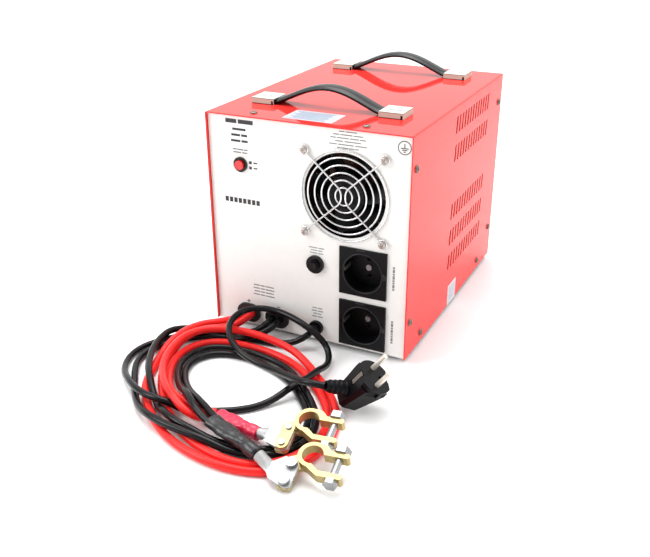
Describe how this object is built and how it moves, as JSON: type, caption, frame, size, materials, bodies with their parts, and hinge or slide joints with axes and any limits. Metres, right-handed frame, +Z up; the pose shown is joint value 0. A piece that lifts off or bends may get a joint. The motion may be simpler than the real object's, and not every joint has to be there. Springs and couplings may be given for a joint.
{
  "type": "power inverter",
  "caption": "Table-top power inverter: red sheet-metal case with louvres, fan, mains sockets, strap handles, coiled battery leads with post clamps and a mains lead.",
  "frame": {"origin": "on the floor plane of the rubber feet, below the middle of the case", "axes": "+X towards the wall right of the socket panel seen from its front, +Y from the socket panel to the user side, +Z up"},
  "size_m": [0.2841, 0.5264, 0.2555],
  "materials": {
    "red_cover": "smooth red powder coat",
    "white_panel": "smooth white powder coat",
    "zinc_sheet": "zinc-plated sheet",
    "bright_steel": "bright zinc or nickel plating",
    "nickel_cap": "warm nickel-plated folded sheet",
    "black_rubber": "matt rubber",
    "strap_plastic": "grained soft plastic",
    "black_plastic": "fine-grained moulded plastic",
    "gloss_black": "smooth moulded plastic",
    "red_button": "smooth moulded plastic",
    "red_insulation": "smooth cable sheath",
    "black_insulation": "smooth cable sheath",
    "shrink_red": "heat-shrink sleeve",
    "tinned_lug": "tinned, matt",
    "brass": "plated brass casting",
    "copper_core": "taped winding",
    "board_green": "solder mask",
    "sink_aluminium": "extruded aluminium",
    "window": "smoked clear plastic",
    "lens": "clear coloured lens"
  },
  "bodies": {
    "case": {"top_cover": "red_cover", "front_panel": "white_panel", "back_panel": "white_panel", "base_plate": "zinc_sheet", "rubber_feet": "black_rubber", "foot_screws": "bright_steel", "side_screws": "bright_steel", "top_screws": "bright_steel", "front_handle_strap": "strap_plastic", "rear_handle_strap": "strap_plastic", "handle_end_caps": "nickel_cap", "fan_frame": "black_plastic", "fan_guard": "bright_steel", "fan_screws": "bright_steel", "fan_nuts": "bright_steel", "charge_button_bezel": "gloss_black", "breaker_body": "black_plastic", "breaker_nut": "gloss_black", "upper_socket": "black_plastic", "lower_socket": "black_plastic", "socket_earth_clips": "bright_steel", "socket_contacts": "brass", "socket_screws": "bright_steel", "positive_grommet": "black_rubber", "negative_grommet": "black_rubber", "mains_strain_relief": "black_plastic", "red_cable_1": "red_insulation", "red_cable_2": "red_insulation", "black_cable_1": "black_insulation", "black_cable_2": "black_insulation", "mains_cord": "black_insulation", "positive_sleeve": "shrink_red", "negative_sleeve": "black_insulation", "positive_lug": "tinned_lug", "negative_lug": "tinned_lug", "positive_clamp": "brass", "negative_clamp": "brass", "positive_clamp_bar": "brass", "positive_lug_screws": "bright_steel", "negative_lug_screws": "bright_steel", "clamp_bolts": "bright_steel", "clamp_nuts": "bright_steel", "plug_body": "black_plastic", "plug_pins": "bright_steel", "plug_earth_clips": "bright_steel", "transformer_toroid": "copper_core", "transformer_pads": "black_rubber", "transformer_dish": "zinc_sheet", "transformer_bolt_and_nut": "bright_steel", "power_board": "board_green", "board_standoffs": "black_plastic", "heat_sinks": "sink_aluminium", "capacitors": "black_plastic", "power_rocker_frame": "black_plastic", "display_window": "window", "status_lights": "lens"},
    "fan": {"fan_rotor": "black_plastic"},
    "charge_knob": {"charge_button": "red_button"},
    "breaker_knob": {"breaker_button": "gloss_black"},
    "rocker": {"power_rocker": "gloss_black"}
  },
  "joints": [
    {"name": "fan_spin", "type": "hinge", "parent": "case", "child": "fan", "pos_m": [0.0407, -0.13, 0.1664], "axis": [0, 1, 0], "continuous": true},
    {"name": "charge_button_press", "type": "slide", "parent": "case", "child": "charge_knob", "axis": [0, 1, 0], "range_m": [0, 0.002], "stiffness_N_per_m": 300, "springref_m": -0.001},
    {"name": "breaker_reset", "type": "slide", "parent": "case", "child": "breaker_knob", "axis": [0, -1, 0], "range_m": [0, 0.003]},
    {"name": "rocker_tilt", "type": "hinge", "parent": "case", "child": "rocker", "pos_m": [-0.062, 0.1444, 0.06], "axis": [1, 0, 0], "range_deg": [0, 16]}
  ]
}
